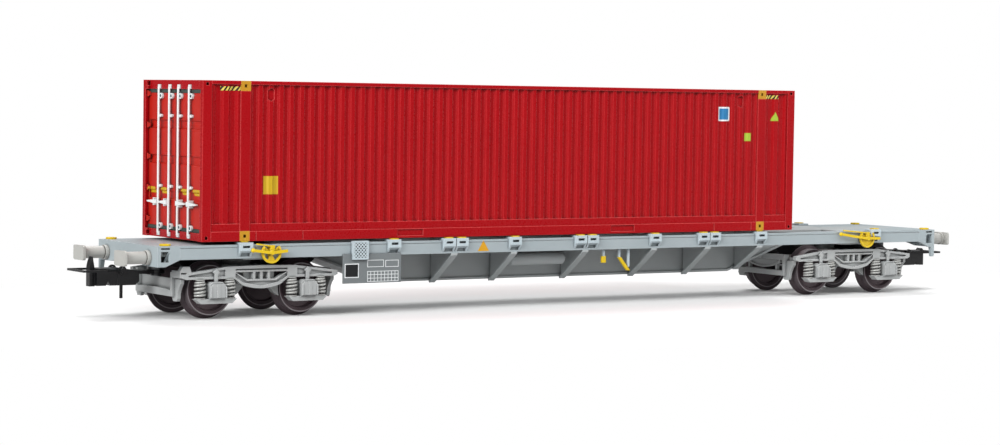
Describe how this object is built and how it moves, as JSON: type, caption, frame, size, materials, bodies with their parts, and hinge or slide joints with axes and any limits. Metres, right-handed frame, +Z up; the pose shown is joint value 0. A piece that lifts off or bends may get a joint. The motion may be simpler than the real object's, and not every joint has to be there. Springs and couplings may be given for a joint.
{
  "type": "scale model of a bogie flatcar with one container",
  "caption": "Model bogie flatcar with an open frame, turning bogies and free wheels, loop couplers, and a corrugated container that lifts off its pins.",
  "frame": {"origin": "on the floor under the middle of the wagon, at the bottom of the wheel flanges", "axes": "+X along the wagon away from the container's door end, +Y across it, +Z up"},
  "size_m": [0.2372, 0.0312, 0.0497],
  "materials": {
    "frame_grey": "satin painted plastic, pale bluish grey",
    "spine_grey": "satin painted plastic, mid grey",
    "bracket_grey": "satin painted plastic, light grey",
    "bogie_grey": "satin moulded plastic, light grey",
    "buffer_grey": "satin moulded plastic, warm light grey",
    "wheel_brown": "darkened metal, brown black",
    "axle_steel": "turned steel",
    "coupler_black": "black moulded plastic",
    "signal_yellow": "satin yellow",
    "container_red": "satin moulded plastic, deep red",
    "door_red": "satin moulded plastic, orange red",
    "container_floor_brown": "moulded plastic in the shade, dark red",
    "bar_white": "white painted plastic"
  },
  "bodies": {
    "wagon": {"spine_beam": "spine_grey", "side_sill_near": "frame_grey", "side_sill_far": "frame_grey", "headstock_left": "frame_grey", "headstock_right": "frame_grey", "end_decks": "frame_grey", "bolster_left": "spine_grey", "bolster_right": "spine_grey", "outriggers_near": "spine_grey", "outriggers_far": "spine_grey", "pin_brackets_near": "bracket_grey", "pin_brackets_far": "bracket_grey", "container_pins": "signal_yellow", "buffers_left": "buffer_grey", "buffers_right": "buffer_grey", "data_panel": "spine_grey", "step_plate": "bracket_grey", "air_tank": "spine_grey", "brake_posts": "bracket_grey", "brake_handles": "signal_yellow", "handwheels_near": "signal_yellow", "handwheels_far": "signal_yellow", "coupler_pins": "axle_steel"},
    "bogie_left": {"bogie_frame_left": "bogie_grey", "bogie_end_beams_left": "bogie_grey", "axleboxes_left": "bogie_grey", "bogie_springs_left": "bogie_grey", "brake_shoes_left": "bogie_grey"},
    "bogie_right": {"bogie_frame_right": "bogie_grey", "bogie_end_beams_right": "bogie_grey", "axleboxes_right": "bogie_grey", "bogie_springs_right": "bogie_grey", "brake_shoes_right": "bogie_grey"},
    "wheelset_1": {"wheels_1": "wheel_brown", "axle_1": "axle_steel"},
    "wheelset_2": {"wheels_2": "wheel_brown", "axle_2": "axle_steel"},
    "wheelset_3": {"wheels_3": "wheel_brown", "axle_3": "axle_steel"},
    "wheelset_4": {"wheels_4": "wheel_brown", "axle_4": "axle_steel"},
    "coupler_left": {"coupler_left": "coupler_black"},
    "loop_left": {"coupler_loop_left": "coupler_black"},
    "coupler_right": {"coupler_right": "coupler_black"},
    "loop_right": {"coupler_loop_right": "coupler_black"},
    "container": {"container_side_near": "container_red", "container_side_far": "container_red", "container_roof": "container_red", "container_floor": "container_floor_brown", "container_front": "container_red", "container_corner_posts": "container_red", "lifting_castings": "signal_yellow", "door_frame": "container_red", "door_leaf_near": "door_red", "door_leaf_far": "door_red", "locking_bars": "bar_white"}
  },
  "joints": [
    {"name": "bogie_left_turn", "type": "hinge", "parent": "wagon", "child": "bogie_left", "pos_m": [-0.082, 0, 0.012], "axis": [0, 0, 1], "range_deg": [-12, 12]},
    {"name": "bogie_right_turn", "type": "hinge", "parent": "wagon", "child": "bogie_right", "pos_m": [0.082, 0, 0.012], "axis": [0, 0, 1], "range_deg": [-12, 12]},
    {"name": "wheelset_1_roll", "type": "hinge", "parent": "bogie_left", "child": "wheelset_1", "pos_m": [-0.0928, 0, 0.0061], "axis": [0, 1, 0], "continuous": true},
    {"name": "wheelset_2_roll", "type": "hinge", "parent": "bogie_left", "child": "wheelset_2", "pos_m": [-0.0712, 0, 0.0061], "axis": [0, 1, 0], "continuous": true},
    {"name": "wheelset_3_roll", "type": "hinge", "parent": "bogie_right", "child": "wheelset_3", "pos_m": [0.0712, 0, 0.0061], "axis": [0, 1, 0], "continuous": true},
    {"name": "wheelset_4_roll", "type": "hinge", "parent": "bogie_right", "child": "wheelset_4", "pos_m": [0.0928, 0, 0.0061], "axis": [0, 1, 0], "continuous": true},
    {"name": "coupler_left_swing", "type": "hinge", "parent": "wagon", "child": "coupler_left", "pos_m": [-0.1003, 0, 0.00958], "axis": [0, 0, 1], "range_deg": [-10, 10]},
    {"name": "loop_left_lift", "type": "hinge", "parent": "coupler_left", "child": "loop_left", "pos_m": [-0.1092, 0, 0.0102], "axis": [0, 1, 0], "range_deg": [0, 30]},
    {"name": "coupler_right_swing", "type": "hinge", "parent": "wagon", "child": "coupler_right", "pos_m": [0.1003, 0, 0.00958], "axis": [0, 0, 1], "range_deg": [-10, 10]},
    {"name": "loop_right_lift", "type": "hinge", "parent": "coupler_right", "child": "loop_right", "pos_m": [0.1092, 0, 0.0092], "axis": [0, -1, 0], "range_deg": [0, 30]},
    {"name": "container_lift", "type": "slide", "parent": "wagon", "child": "container", "axis": [0, 0, 1], "range_m": [0, 0.04]}
  ]
}
